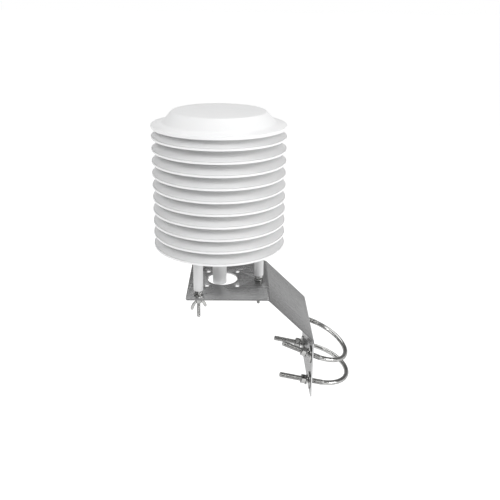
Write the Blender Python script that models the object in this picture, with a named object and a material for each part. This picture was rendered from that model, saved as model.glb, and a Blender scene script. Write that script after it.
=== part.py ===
"""Naturally ventilated radiation shield for an air temperature and humidity probe, on a bent steel arm.

Ten louvre plates and a domed cap are clamped on three tie rods. The rods stand on the arm's plate, and two
U-bolts hold the arm's flange against a mast. Units are metres, +Z is up and +X points along the arm towards
the mast. The origin is on the flange's mast face, midway between the two U-bolts.
"""

import math

import bmesh
import bpy
from mathutils import Matrix, Vector

# Gap that every pair of touching pieces keeps, so that no two solids overlap.
GAP = 0.0003
# Edges sharper than this, in degrees, stay sharp in shading.
SHARP_ANGLE = 35
# How far a drill or a pocket's cutter reaches past what it cuts.
CUTTER_REACH = 0.005

# Shield: where its axis stands, and the louvres.
SHIELD_X = -0.1385
SHIELD_Y = -0.0040
BASE_LIP_Z = 0.1838
LOUVRE_COUNT = 10
LOUVRE_PITCH = 0.01747
CAP_PITCH = 0.0142
RIM_RADIUS = 0.095
LIP_HEIGHT = 0.0042
LIP_WIDTH = 0.0022
SHELL = 0.0022
RING_OUTER = 0.070
RING_INNER = 0.041
RING_RISE = 0.0152
ROUND_SIDES = 32

# Domed cap, measured from its lip's top.
CAP_TOP_RADIUS = 0.0662
CAP_FOOT_RADIUS = 0.0800
CAP_BRIM_RISE = 0.0030
CAP_HEIGHT = 0.0183
CAP_SOFTENING = 0.0025

# Tie rods, number 10 thread, and what they hold.
ROD_COUNT = 3
ROD_CIRCLE = 0.0588
ROD_FIRST_ANGLE = math.radians(241.1)
ROD_RADIUS = 0.0024
ROD_LENGTH = 0.2840
ROD_TIPS = (0.0844, 0.0799, 0.0822)
ROD_BORE = 0.0027
BOSS_RADIUS = 0.0069
STANDOFF_RADIUS = 0.0069
SMALL_SIDES = 12
TIE_NUT_FLATS = 0.0095
TIE_NUT_HEIGHT = 0.0049
CAP_NUT_HEIGHT = 0.0033
TIE_WASHER_RADIUS = 0.0062
TIE_WASHER_THICK = 0.0012
TIE_NUT_FIRST_TURN = 29
TIE_NUT_STEP_TURN = 17

# Wing nuts, upside down under the arm's plate.
WING_HUB_TOP_RADIUS = 0.0052
WING_HUB_END_RADIUS = 0.0041
WING_HUB_HEIGHT = 0.0072
WING_HUB_COLLAR = 0.0015
WING_REACH = 0.0125
WING_DROP = 0.0178
WING_THICK = 0.0022
WING_ROOT = 0.0037
WING_OUTLINE = (
    (WING_ROOT, -0.0016),
    (0.0066, -0.0040),
    (0.0098, -0.0078),
    (WING_REACH, -0.0125),
    (WING_REACH - 0.0002, -0.0155),
    (WING_REACH - 0.0020, -WING_DROP),
    (WING_REACH - 0.0042, -0.0165),
    (0.0068, -0.0118),
    (WING_ROOT, -0.0066),
)
WING_TURNS = (math.radians(29), math.radians(100), math.radians(-25))

# Sheet metal arm: plate, slope and flange, bent from one strip.
SHEET = 0.0020
BEND_RADIUS = 0.0050
BEND_STEPS = 5
ARM_WIDTH = 0.1411
PLATE_END_X = -0.1843
PLATE_UNDERSIDE_Z = 0.1175
FIRST_BEND_X = -0.0669
SECOND_BEND_Z = 0.0541
FLANGE_END_Z = -0.0405
PROBE_HOLE_X = -0.1343
PROBE_HOLE_RADIUS = 0.02255
SPARE_HOLE_RADIUS = 0.0030
SPARE_HOLE_SPACING_X = 0.0448
SPARE_HOLE_SPACING_Y = 0.0506
ROD_HOLE_RADIUS = 0.0030

# U-bolts, 5/16 inch thread, hanging loosely in the flange.
LEG_HALF_SPACING = 0.0535
SHANK_RADIUS = 0.0035
THREAD_RADIUS = 0.0039
THREAD_CHAMFER = 0.0005
THREAD_RUNOUT = 0.0006
BOW_STEPS = 18
FLANGE_HOLE_RADIUS = 0.0052
PLATE_WASHER_RADIUS = 0.0127
PLATE_WASHER_BORE = 0.0050
PLATE_WASHER_THICK = 0.0016
SPRING_WASHER_RADIUS = 0.0074
SPRING_WASHER_THICK = 0.0020
BOLT_NUT_FLATS = 0.0127
BOLT_NUT_HEIGHT = 0.0068
BOLT_BORE = 0.0042
BOLT_NUT_MIDDLE_TURN = 18
BOLT_NUT_SIDE_TURN = 14
U_BOLTS = (
    {"name": "upper", "z": 0.02285, "droop": 21.7, "yaw": -4.1, "straight": 0.0092, "tail": 0.0436},
    {"name": "lower", "z": -0.02285, "droop": 13.0, "yaw": 1.6, "straight": 0.0104, "tail": 0.0501},
)

# Probe and the tube that holds it, on the shield's axis.
TUBE_RADIUS = 0.0105
TUBE_BORE = 0.0082
TUBE_END_Z = 0.1155
TUBE_FLANGE_RADIUS = 0.0145
TUBE_FLANGE_THICK = 0.0025
TUBE_COLLAR_HEIGHT = 0.0040
TUBE_CHAMFER = 0.0008
TUBE_LOCK_RADIUS = 0.0150
TUBE_LOCK_HEIGHT = 0.0060
PROBE_ABOVE_TUBE_END = 0.0120
PROBE_RADIUS = 0.0060
PROBE_LENGTH = 0.120
PROBE_NECK_RADIUS = 0.0042
PROBE_NECK_HEIGHT = 0.005
GLAND_ABOVE_TUBE_END = 0.003
GLAND_TAPER_HEIGHT = 0.003
GLAND_END_RADIUS = 0.0045
GLAND_BORE = 0.0018
FILTER_HEIGHT = 0.033
FILTER_CHAMFER = 0.0025
FILTER_WALL_TOP = 0.0018
FILTER_WALL_SHOULDER = 0.0035
BUSH_HEIGHT = 0.010
LOWER_BUSH_ABOVE_PROBE_END = 0.004
BOARD_WIDTH = 0.0060
BOARD_THICK = 0.0010
BOARD_BELOW_FILTER_TOP = 0.006


def make_material(name, colour, roughness, metallic=0.0):
    material = bpy.data.materials.new(name)
    material.use_nodes = True
    shader = material.node_tree.nodes["Principled BSDF"]
    shader.inputs["Base Color"].default_value = (*colour, 1.0)
    shader.inputs["Roughness"].default_value = roughness
    shader.inputs["Metallic"].default_value = metallic
    return material


def clear_scene():
    for old in list(bpy.data.objects):
        bpy.data.objects.remove(old, do_unlink=True)


def add_object(name, mesh, material=None, parent=None, place=None):
    """Links a mesh as a named object at place, a matrix in its parent's space."""
    item = bpy.data.objects.new(name, mesh)
    bpy.context.scene.collection.objects.link(item)
    if material and not mesh.materials:
        mesh.materials.append(material)
    item.parent = parent
    item.matrix_basis = place or Matrix()
    return item


def add_empty(name, place):
    frame = bpy.data.objects.new(name, None)
    bpy.context.scene.collection.objects.link(frame)
    frame.matrix_basis = place
    return frame


def finish_mesh(name, builder):
    """Turns a bmesh into a mesh with outward faces and smooth round sides."""
    bmesh.ops.recalc_face_normals(builder, faces=builder.faces)
    mesh = bpy.data.meshes.new(name)
    builder.to_mesh(mesh)
    builder.free()
    mesh.shade_smooth()
    mesh.set_sharp_from_angle(angle=math.radians(SHARP_ANGLE))
    return mesh


def turned_mesh(name, outline, sides):
    """Revolves a closed outline of (radius, z) points about Z. A point at radius 0 becomes a pole."""
    builder = bmesh.new()
    rings = []
    for radius, z in outline:
        if radius == 0:
            rings.append([builder.verts.new((0, 0, z))])
            continue
        angles = [2 * math.pi * k / sides for k in range(sides)]
        rings.append([builder.verts.new((radius * math.cos(a), radius * math.sin(a), z)) for a in angles])
    for near, far in zip(rings, rings[1:] + rings[:1]):
        if len(near) == 1 and len(far) == 1:
            continue
        for k in range(sides):
            corners = [near[k % len(near)], near[(k + 1) % len(near)], far[(k + 1) % len(far)], far[k % len(far)]]
            builder.faces.new(list(dict.fromkeys(corners)))
    return finish_mesh(name, builder)


def ring_mesh(name, outer, inner, bottom, top, sides):
    return turned_mesh(name, [(inner, bottom), (outer, bottom), (outer, top), (inner, top)], sides)


def disc_mesh(name, radius, bottom, top, sides):
    return turned_mesh(name, [(0, bottom), (radius, bottom), (radius, top), (0, top)], sides)


def extruded_mesh(name, outline, depth_from, depth_to, lift):
    """Extrudes a flat outline. The function lift turns an outline point and a depth into a position."""
    builder = bmesh.new()
    near = [builder.verts.new(lift(point, depth_from)) for point in outline]
    far = [builder.verts.new(lift(point, depth_to)) for point in outline]
    builder.faces.new(near)
    builder.faces.new(far)
    count = len(outline)
    for k in range(count):
        builder.faces.new([near[k], near[(k + 1) % count], far[(k + 1) % count], far[k]])
    return finish_mesh(name, builder)


def hexagon(across_flats):
    corner = across_flats / math.sqrt(3)
    return [(corner * math.cos(math.radians(a)), corner * math.sin(math.radians(a))) for a in range(0, 360, 60)]


def hex_nut_mesh(name, across_flats, bore, height):
    """A hexagonal nut from z = 0 to height, with a plain bore of twelve sides."""
    builder = bmesh.new()
    corner = across_flats / math.sqrt(3)
    steps = 12
    loops = []
    for z in (0, height):
        for inner in (False, True):
            loop = []
            for k in range(steps):
                angle = 2 * math.pi * k / steps
                outer_radius = corner if k % 2 == 0 else across_flats / 2
                radius = bore if inner else outer_radius
                loop.append(builder.verts.new((radius * math.cos(angle), radius * math.sin(angle), z)))
            loops.append(loop)
    low_outer, low_inner, high_outer, high_inner = loops
    for one, other in ((low_outer, high_outer), (high_outer, high_inner),
                       (high_inner, low_inner), (low_inner, low_outer)):
        for k in range(steps):
            nxt = (k + 1) % steps
            builder.faces.new([one[k], one[nxt], other[nxt], other[k]])
    return finish_mesh(name, builder)


def swept_mesh(name, path, radii, side_normal, sides):
    """Sweeps a circle along a flat path. side_normal is the normal of the path's plane."""
    builder = bmesh.new()
    rings = []
    for k, (centre, radius) in enumerate(zip(path, radii)):
        before = path[max(k - 1, 0)]
        after = path[min(k + 1, len(path) - 1)]
        along = (after - before).normalized()
        across = side_normal.cross(along).normalized()
        ring = []
        for step in range(sides):
            angle = 2 * math.pi * step / sides
            offset = across * math.cos(angle) + side_normal * math.sin(angle)
            ring.append(builder.verts.new(centre + offset * radius))
        rings.append(ring)
    for near, far in zip(rings, rings[1:]):
        for k in range(sides):
            nxt = (k + 1) % sides
            builder.faces.new([near[k], near[nxt], far[nxt], far[k]])
    builder.faces.new(rings[0])
    builder.faces.new(rings[-1])
    return finish_mesh(name, builder)


def combine(target, tools, operation):
    """Cuts or joins the tool objects to target one by one, keeps the result as target's mesh, drops the tools."""
    for tool in tools:
        modifier = target.modifiers.new(operation, "BOOLEAN")
        modifier.operation = operation
        modifier.solver = "EXACT"
        modifier.object = tool
        graph = bpy.context.evaluated_depsgraph_get()
        result = bpy.data.meshes.new_from_object(target.evaluated_get(graph))
        target.modifiers.clear()
        target.data = result
        bpy.data.objects.remove(tool, do_unlink=True)
    target.data.set_sharp_from_angle(angle=math.radians(SHARP_ANGLE))
    return target


def at(x, y, z):
    return Matrix.Translation((x, y, z))


def rod_places():
    """The tie rods' places relative to the shield's axis."""
    angles = [ROD_FIRST_ANGLE + 2 * math.pi * k / ROD_COUNT for k in range(ROD_COUNT)]
    return [(ROD_CIRCLE * math.cos(a), ROD_CIRCLE * math.sin(a)) for a in angles]


def ring_top_z(lip_z):
    return lip_z + LIP_HEIGHT / 2 + RING_RISE


def louvre_outline(inner_radius):
    """Section of a louvre about its lip's middle: upright lip, sloped skirt, flat ring."""
    lip_top = LIP_HEIGHT / 2
    ring_top = lip_top + RING_RISE
    return [
        (RIM_RADIUS, -lip_top),
        (RIM_RADIUS, lip_top),
        (RING_OUTER, ring_top),
        (inner_radius, ring_top),
        (inner_radius, ring_top - SHELL),
        (RING_OUTER - 0.4 * SHELL, ring_top - SHELL),
        (RIM_RADIUS - LIP_WIDTH, lip_top - SHELL),
        (RIM_RADIUS - LIP_WIDTH, -lip_top),
    ]


def louvre_mesh(name, inner_radius, with_bosses):
    """A louvre with rod holes, and with the spacer bosses that stand it off the next louvre down."""
    louvre = add_object(name, turned_mesh(name, louvre_outline(inner_radius), ROUND_SIDES))
    ring_top = LIP_HEIGHT / 2 + RING_RISE
    boss_foot = ring_top - LOUVRE_PITCH + GAP
    if with_bosses:
        boss = disc_mesh("boss", BOSS_RADIUS, boss_foot, ring_top - SHELL / 2, SMALL_SIDES)
        combine(louvre, [add_object("boss", boss, place=at(x, y, 0)) for x, y in rod_places()], "UNION")
    drill = disc_mesh("drill", ROD_BORE, boss_foot - CUTTER_REACH, ring_top + CUTTER_REACH, SMALL_SIDES)
    combine(louvre, [add_object("drill", drill, place=at(x, y, 0)) for x, y in rod_places()], "DIFFERENCE")
    mesh = louvre.data
    bpy.data.objects.remove(louvre, do_unlink=True)
    return mesh


def build_louvres(plastic):
    lip_z = BASE_LIP_Z + LOUVRE_PITCH * (LOUVRE_COUNT - 1)
    shared = louvre_mesh("louvre_ring", RING_INNER, True)
    shared.materials.append(plastic)
    for number in range(1, LOUVRE_COUNT):
        add_object(f"louvre_{number:02d}", shared, place=at(SHIELD_X, SHIELD_Y, lip_z))
        lip_z -= LOUVRE_PITCH
    base = louvre_mesh("base_louvre", TUBE_RADIUS + 2 * GAP, False)
    add_object("base_louvre", base, plastic, place=at(SHIELD_X, SHIELD_Y, BASE_LIP_Z))


def cap_lip_z():
    return BASE_LIP_Z + LOUVRE_PITCH * (LOUVRE_COUNT - 1) + CAP_PITCH


def cap_boss_mesh(foot, ceiling):
    """A boss that hangs from the cap's ceiling, with a blind bore and a hexagonal pocket for its nut."""
    top = ceiling + GAP
    bore_end = ceiling - SHELL
    outline = [(0, bore_end), (ROD_BORE, bore_end), (ROD_BORE, foot), (BOSS_RADIUS, foot), (BOSS_RADIUS, top), (0, top)]
    boss = add_object("boss", turned_mesh("boss", outline, SMALL_SIDES))
    pocket = extruded_mesh("pocket", hexagon(TIE_NUT_FLATS + 2 * GAP), foot - CUTTER_REACH,
                           foot + CAP_NUT_HEIGHT + GAP, lambda point, z: (*point, z))
    combine(boss, [add_object("pocket", pocket)], "DIFFERENCE")
    mesh = boss.data
    bpy.data.objects.remove(boss, do_unlink=True)
    return mesh


def build_cap(plastic):
    """Domed cap with a flat top, a steep side and a gently sloped brim, and a boss with a nut pocket per rod."""
    lip_top = LIP_HEIGHT / 2
    top = lip_top + CAP_HEIGHT
    ceiling = top - SHELL
    top_edge = Vector((CAP_TOP_RADIUS, top))
    foot = Vector((CAP_FOOT_RADIUS, lip_top + CAP_BRIM_RISE))
    rim = Vector((RIM_RADIUS, lip_top))
    side = (foot - top_edge).normalized() * CAP_SOFTENING
    brim = (rim - foot).normalized() * CAP_SOFTENING
    inset = SHELL * math.tan(side.angle(Vector((1, 0))) / 2)
    outline = [
        (0, top),
        (CAP_TOP_RADIUS - CAP_SOFTENING, top),
        tuple(top_edge + side),
        tuple(foot - side),
        tuple(foot + brim),
        tuple(rim),
        (RIM_RADIUS, -lip_top),
        (RIM_RADIUS - LIP_WIDTH, -lip_top),
        (RIM_RADIUS - LIP_WIDTH, lip_top - SHELL),
        (foot.x - inset, foot.y - SHELL),
        (CAP_TOP_RADIUS - inset, ceiling),
        (0, ceiling),
    ]
    cap = add_object("cap", turned_mesh("cap", outline, ROUND_SIDES), plastic,
                     place=at(SHIELD_X, SHIELD_Y, cap_lip_z()))
    boss = cap_boss_mesh(ring_top_z(-CAP_PITCH) + GAP, ceiling)
    places = [at(SHIELD_X + x, SHIELD_Y + y, cap_lip_z()) for x, y in rod_places()]
    combine(cap, [add_object("boss", boss, place=place) for place in places], "UNION")


def wing_nut_mesh():
    """Wing nut that hangs from z = 0: a tapered hub, and two wings that spread downwards on the local X axis."""
    hub_outline = [
        (ROD_BORE, 0),
        (WING_HUB_TOP_RADIUS, 0),
        (WING_HUB_TOP_RADIUS, -WING_HUB_COLLAR),
        (WING_HUB_END_RADIUS, -WING_HUB_HEIGHT),
        (ROD_BORE, -WING_HUB_HEIGHT),
    ]
    nut = add_object("wing_nut", turned_mesh("wing_nut", hub_outline, SMALL_SIDES))
    for side in (1, -1):
        half = extruded_mesh("wing", WING_OUTLINE, -WING_THICK / 2, WING_THICK / 2,
                             lambda point, depth: (side * point[0], depth, point[1]))
        combine(nut, [add_object("wing", half)], "UNION")
    mesh = nut.data
    bpy.data.objects.remove(nut, do_unlink=True)
    return mesh


def build_rod_stacks(plastic, steel):
    """Each tie rod with its nuts, washers, standoff and wing nut, from the cap down to below the arm."""
    plate_top = PLATE_UNDERSIDE_Z + SHEET
    washer_z = plate_top + GAP
    nut_z = washer_z + TIE_WASHER_THICK + GAP
    standoff_z = nut_z + TIE_NUT_HEIGHT + GAP
    standoff_top = ring_top_z(BASE_LIP_Z) - SHELL - GAP
    cap_nut_z = ring_top_z(cap_lip_z() - CAP_PITCH) + GAP
    under_washer_z = PLATE_UNDERSIDE_Z - GAP - TIE_WASHER_THICK
    wing_z = under_washer_z - GAP
    washer = ring_mesh("tie_washer", TIE_WASHER_RADIUS, ROD_BORE, 0, TIE_WASHER_THICK, 16)
    nut = hex_nut_mesh("tie_nut", TIE_NUT_FLATS, ROD_BORE, TIE_NUT_HEIGHT)
    cap_nut = hex_nut_mesh("cap_nut", TIE_NUT_FLATS, ROD_BORE, CAP_NUT_HEIGHT)
    standoff = ring_mesh("standoff", STANDOFF_RADIUS, ROD_BORE, 0, standoff_top - standoff_z, 16)
    rod = disc_mesh("tie_rod", ROD_RADIUS, 0, ROD_LENGTH, SMALL_SIDES)
    wing_nut = wing_nut_mesh()
    for number, (x, y) in enumerate(rod_places(), start=1):
        place_x = SHIELD_X + x
        place_y = SHIELD_Y + y
        tip_z = ROD_TIPS[number - 1]
        wing_turn = Matrix.Rotation(WING_TURNS[number - 1], 4, "Z")
        nut_turn = Matrix.Rotation(math.radians(TIE_NUT_FIRST_TURN + TIE_NUT_STEP_TURN * (number - 1)), 4, "Z")
        add_object(f"tie_rod_{number}", rod, steel, place=at(place_x, place_y, tip_z))
        add_object(f"standoff_{number}", standoff, plastic, place=at(place_x, place_y, standoff_z))
        add_object(f"tie_nut_{number}", nut, steel, place=at(place_x, place_y, nut_z) @ nut_turn)
        add_object(f"cap_nut_{number}", cap_nut, steel, place=at(place_x, place_y, cap_nut_z))
        add_object(f"plate_washer_{number}", washer, steel, place=at(place_x, place_y, washer_z))
        add_object(f"under_washer_{number}", washer, steel, place=at(place_x, place_y, under_washer_z))
        add_object(f"wing_nut_{number}", wing_nut, steel, place=at(place_x, place_y, wing_z) @ wing_turn)


def bent_strip(corners, bend_radius, thickness, steps):
    """Outline of a strip bent along a line of corners: one side out, and the other side back."""
    left, right = [], []
    for k, corner in enumerate(corners):
        into = (corner - corners[k - 1]).normalized() if k else (corners[1] - corner).normalized()
        out = (corners[k + 1] - corner).normalized() if k + 1 < len(corners) else into
        start = math.atan2(into.y, into.x)
        turn = math.atan2(into.x * out.y - into.y * out.x, into.dot(out))
        if abs(turn) < 1e-6:
            normal = Vector((-into.y, into.x))
            left.append(corner + normal * thickness / 2)
            right.append(corner - normal * thickness / 2)
            continue
        hand = math.copysign(1, turn)
        middle_radius = bend_radius + thickness / 2
        back = middle_radius * math.tan(abs(turn) / 2)
        centre = corner - into * back + Vector((-into.y, into.x)) * hand * middle_radius
        for step in range(steps + 1):
            heading = start + turn * step / steps
            away = Vector((math.sin(heading), -math.cos(heading))) * hand
            left.append(centre + away * (middle_radius - hand * thickness / 2))
            right.append(centre + away * (middle_radius + hand * thickness / 2))
    return left + right[::-1]


def leg_frame(bolt):
    """Frame of a U-bolt: origin where its plane's middle line meets the mast face, local X towards the bow."""
    yaw = Matrix.Rotation(math.radians(bolt["yaw"]), 4, "Z")
    droop = Matrix.Rotation(math.radians(bolt["droop"]), 4, "Y")
    return at(0, 0, bolt["z"]) @ yaw @ droop


def leg_at_x(bolt, side, x):
    """Where the middle line of a U-bolt's leg crosses the plane at x, side being 1 or -1 along Y."""
    frame = leg_frame(bolt)
    start = frame @ Vector((0, side * LEG_HALF_SPACING, 0))
    along = frame.to_3x3() @ Vector((1, 0, 0))
    return start + along * ((x - start.x) / along.x)


def build_bracket(steel):
    half = ARM_WIDTH / 2
    middle_z = PLATE_UNDERSIDE_Z + SHEET / 2
    corners = [
        Vector((PLATE_END_X, middle_z)),
        Vector((FIRST_BEND_X, middle_z)),
        Vector((-SHEET / 2, SECOND_BEND_Z)),
        Vector((-SHEET / 2, FLANGE_END_Z)),
    ]
    outline = bent_strip(corners, BEND_RADIUS, SHEET, BEND_STEPS)
    arm = extruded_mesh("bracket", outline, -half, half, lambda point, depth: (point.x, depth, point.y))
    bracket = add_object("bracket", arm, steel)
    deep = CUTTER_REACH
    spare = disc_mesh("drill", SPARE_HOLE_RADIUS, -deep, deep, SMALL_SIDES)
    rod_hole = disc_mesh("drill", ROD_HOLE_RADIUS, -deep, deep, SMALL_SIDES)
    probe_hole = disc_mesh("drill", PROBE_HOLE_RADIUS, -deep, deep, ROUND_SIDES)
    drills = [add_object("drill", probe_hole, place=at(PROBE_HOLE_X, 0, middle_z))]
    for side_x in (-0.5, 0.5):
        for side_y in (-0.5, 0.5):
            x = PROBE_HOLE_X + side_x * SPARE_HOLE_SPACING_X
            y = side_y * SPARE_HOLE_SPACING_Y
            drills.append(add_object("drill", spare, place=at(x, y, middle_z)))
    for x, y in rod_places():
        drills.append(add_object("drill", rod_hole, place=at(SHIELD_X + x, SHIELD_Y + y, middle_z)))
    flange_hole = disc_mesh("drill", FLANGE_HOLE_RADIUS, -deep, deep, 16)
    lying = Matrix.Rotation(math.radians(90), 4, "Y")
    for bolt in U_BOLTS:
        for side in (-1, 1):
            middle = leg_at_x(bolt, side, -SHEET / 2)
            drills.append(add_object("drill", flange_hole, place=Matrix.Translation(middle) @ lying))
    combine(bracket, drills, "DIFFERENCE")


def u_bolt_mesh(name, straight, tail):
    """U-bolt in its own frame: legs along X at +-half spacing, threaded below the face, bow at +X."""
    leg = [(-tail, THREAD_RADIUS - THREAD_CHAMFER), (-tail + THREAD_CHAMFER, THREAD_RADIUS),
           (straight - THREAD_RUNOUT, THREAD_RADIUS)]
    path = [Vector((x, LEG_HALF_SPACING, 0)) for x, _ in leg]
    for step in range(BOW_STEPS + 1):
        angle = math.pi * step / BOW_STEPS
        path.append(Vector((straight + LEG_HALF_SPACING * math.sin(angle), LEG_HALF_SPACING * math.cos(angle), 0)))
    path += [Vector((x, -LEG_HALF_SPACING, 0)) for x, _ in reversed(leg)]
    ends = [radius for _, radius in leg]
    radii = ends + [SHANK_RADIUS] * (BOW_STEPS + 1) + ends[::-1]
    return swept_mesh(name, path, radii, Vector((0, 0, 1)), SMALL_SIDES)


def build_u_bolts(steel):
    """Both U-bolts with their nuts and spring washers square to the legs, and big washers flat on the flange."""
    big_washer = ring_mesh("bolt_washer", PLATE_WASHER_RADIUS, PLATE_WASHER_BORE, 0, PLATE_WASHER_THICK, 20)
    spring_washer = ring_mesh("spring_washer", SPRING_WASHER_RADIUS, BOLT_BORE, 0, SPRING_WASHER_THICK, 16)
    nut = hex_nut_mesh("bolt_nut", BOLT_NUT_FLATS, BOLT_BORE, BOLT_NUT_HEIGHT)
    facing_back = Matrix.Rotation(math.radians(-90), 4, "Y")
    for bolt in U_BOLTS:
        name = bolt["name"]
        frame = add_empty(f"{name}_u_bolt_frame", leg_frame(bolt))
        mesh = u_bolt_mesh(f"{name}_u_bolt", bolt["straight"], bolt["tail"])
        add_object(f"{name}_u_bolt", mesh, steel, parent=frame)
        tilt = math.acos((frame.matrix_basis.to_3x3() @ Vector((1, 0, 0))).x)
        washer_back = SHEET + GAP + PLATE_WASHER_THICK
        for side, label in ((-1, "front"), (1, "rear")):
            middle = leg_at_x(bolt, side, -SHEET - GAP)
            add_object(f"{name}_{label}_big_washer", big_washer, steel,
                       place=Matrix.Translation(middle) @ facing_back)
            meets_x = frame.matrix_basis.inverted() @ leg_at_x(bolt, side, -washer_back - GAP)
            spring_x = meets_x.x - SPRING_WASHER_RADIUS * math.tan(tilt) - GAP
            nut_x = spring_x - SPRING_WASHER_THICK - GAP
            leg_y = side * LEG_HALF_SPACING
            add_object(f"{name}_{label}_spring_washer", spring_washer, steel, parent=frame,
                       place=at(spring_x, leg_y, 0) @ facing_back)
            turn = Matrix.Rotation(math.radians(BOLT_NUT_MIDDLE_TURN + BOLT_NUT_SIDE_TURN * side), 4, "Z")
            add_object(f"{name}_{label}_nut", nut, steel, parent=frame,
                       place=at(nut_x, leg_y, 0) @ facing_back @ turn)


def build_probe(plastic, dark, rubber, bronze, board):
    """The holder tube through the base louvre, its lock nut, and the probe in two rubber bushes."""
    place = at(SHIELD_X, SHIELD_Y, 0)
    base_top = ring_top_z(BASE_LIP_Z)
    flange_z = base_top + GAP
    flange_top = flange_z + TUBE_FLANGE_THICK
    tube_top = flange_top + TUBE_COLLAR_HEIGHT
    tube_outline = [
        (TUBE_BORE, TUBE_END_Z),
        (TUBE_RADIUS - TUBE_CHAMFER, TUBE_END_Z),
        (TUBE_RADIUS, TUBE_END_Z + TUBE_CHAMFER),
        (TUBE_RADIUS, flange_z),
        (TUBE_FLANGE_RADIUS, flange_z),
        (TUBE_FLANGE_RADIUS, flange_top),
        (TUBE_RADIUS, flange_top),
        (TUBE_RADIUS, tube_top),
        (TUBE_BORE, tube_top),
    ]
    add_object("holder_tube", turned_mesh("holder_tube", tube_outline, 24), plastic, place=place)
    lock_top = base_top - SHELL - GAP
    lock = ring_mesh("lock", TUBE_LOCK_RADIUS, TUBE_RADIUS + GAP, lock_top - TUBE_LOCK_HEIGHT, lock_top, 16)
    add_object("tube_lock_nut", lock, dark, place=place)
    probe_z = TUBE_END_Z + PROBE_ABOVE_TUBE_END
    probe_top = probe_z + PROBE_LENGTH
    neck_top = probe_top + PROBE_NECK_HEIGHT
    probe_outline = [
        (0, probe_z),
        (PROBE_RADIUS, probe_z),
        (PROBE_RADIUS, probe_top),
        (PROBE_NECK_RADIUS, probe_top),
        (PROBE_NECK_RADIUS, neck_top),
        (0, neck_top),
    ]
    add_object("probe_body", turned_mesh("probe_body", probe_outline, 16), dark, place=place)
    gland_z = TUBE_END_Z + GLAND_ABOVE_TUBE_END
    gland_outline = [
        (GLAND_BORE, gland_z),
        (GLAND_END_RADIUS, gland_z),
        (PROBE_RADIUS, gland_z + GLAND_TAPER_HEIGHT),
        (PROBE_RADIUS, probe_z - GAP),
        (GLAND_BORE, probe_z - GAP),
    ]
    add_object("probe_cable_gland", turned_mesh("probe_cable_gland", gland_outline, 16), rubber, place=place)
    for name, bottom in (("lower_probe_bush", probe_z + LOWER_BUSH_ABOVE_PROBE_END),
                         ("upper_probe_bush", tube_top - BUSH_HEIGHT)):
        bush = ring_mesh(name, TUBE_BORE - GAP, PROBE_RADIUS + GAP, bottom, bottom + BUSH_HEIGHT, 16)
        add_object(name, bush, rubber, place=place)
    filter_z = probe_top + GAP
    filter_top = filter_z + FILTER_HEIGHT
    filter_outline = [
        (PROBE_NECK_RADIUS + GAP, filter_z),
        (PROBE_RADIUS, filter_z),
        (PROBE_RADIUS, filter_top - FILTER_CHAMFER),
        (PROBE_RADIUS - FILTER_CHAMFER, filter_top),
        (0, filter_top),
        (0, filter_top - FILTER_WALL_TOP),
        (PROBE_NECK_RADIUS + GAP, filter_top - FILTER_WALL_SHOULDER),
    ]
    add_object("filter_cap", turned_mesh("filter_cap", filter_outline, 16), bronze, place=place)
    half_width = BOARD_WIDTH / 2
    half_thick = BOARD_THICK / 2
    board_outline = [(-half_width, -half_thick), (half_width, -half_thick), (half_width, half_thick),
                     (-half_width, half_thick)]
    board_mesh = extruded_mesh("sensor_board", board_outline, neck_top + GAP, filter_top - BOARD_BELOW_FILTER_TOP,
                               lambda point, z: (*point, z))
    add_object("sensor_board", board_mesh, board, place=place)


def build():
    clear_scene()
    white = make_material("white_plastic", (0.86, 0.86, 0.87), 0.42)
    stainless = make_material("stainless_steel", (0.50, 0.50, 0.50), 0.34, 1.0)
    zinc = make_material("bright_steel", (0.66, 0.66, 0.65), 0.28, 1.0)
    dark = make_material("dark_plastic", (0.05, 0.05, 0.055), 0.45)
    rubber = make_material("black_rubber", (0.03, 0.03, 0.03), 0.75)
    bronze = make_material("sintered_bronze", (0.52, 0.38, 0.22), 0.6, 1.0)
    board = make_material("circuit_board", (0.04, 0.18, 0.08), 0.5)
    build_cap(white)
    build_louvres(white)
    build_rod_stacks(white, zinc)
    build_bracket(stainless)
    build_u_bolts(zinc)
    build_probe(white, dark, rubber, bronze, board)


build()
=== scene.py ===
"""Looks of a louvred radiation shield on a bent steel arm with two loose U-bolts.

The shield's axis is vertical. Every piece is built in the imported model's frame, in
metres: the origin is on the flange's mast face, +X points towards the mast and +Z is up.
"""

import math

import bmesh
import bpy
from mathutils import Matrix, Vector


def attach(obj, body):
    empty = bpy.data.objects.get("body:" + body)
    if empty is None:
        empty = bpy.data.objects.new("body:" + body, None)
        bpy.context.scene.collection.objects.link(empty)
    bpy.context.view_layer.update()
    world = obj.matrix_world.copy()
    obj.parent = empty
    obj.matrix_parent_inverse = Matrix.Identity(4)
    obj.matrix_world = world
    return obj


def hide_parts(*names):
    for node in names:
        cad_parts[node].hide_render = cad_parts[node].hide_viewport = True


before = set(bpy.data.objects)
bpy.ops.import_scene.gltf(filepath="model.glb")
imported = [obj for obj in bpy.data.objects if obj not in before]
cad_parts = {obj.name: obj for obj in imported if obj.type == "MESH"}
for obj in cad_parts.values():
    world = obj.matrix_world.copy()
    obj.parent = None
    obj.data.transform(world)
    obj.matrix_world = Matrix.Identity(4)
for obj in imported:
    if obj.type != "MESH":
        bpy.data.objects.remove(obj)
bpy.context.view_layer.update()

TAU = 2 * math.pi

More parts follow.
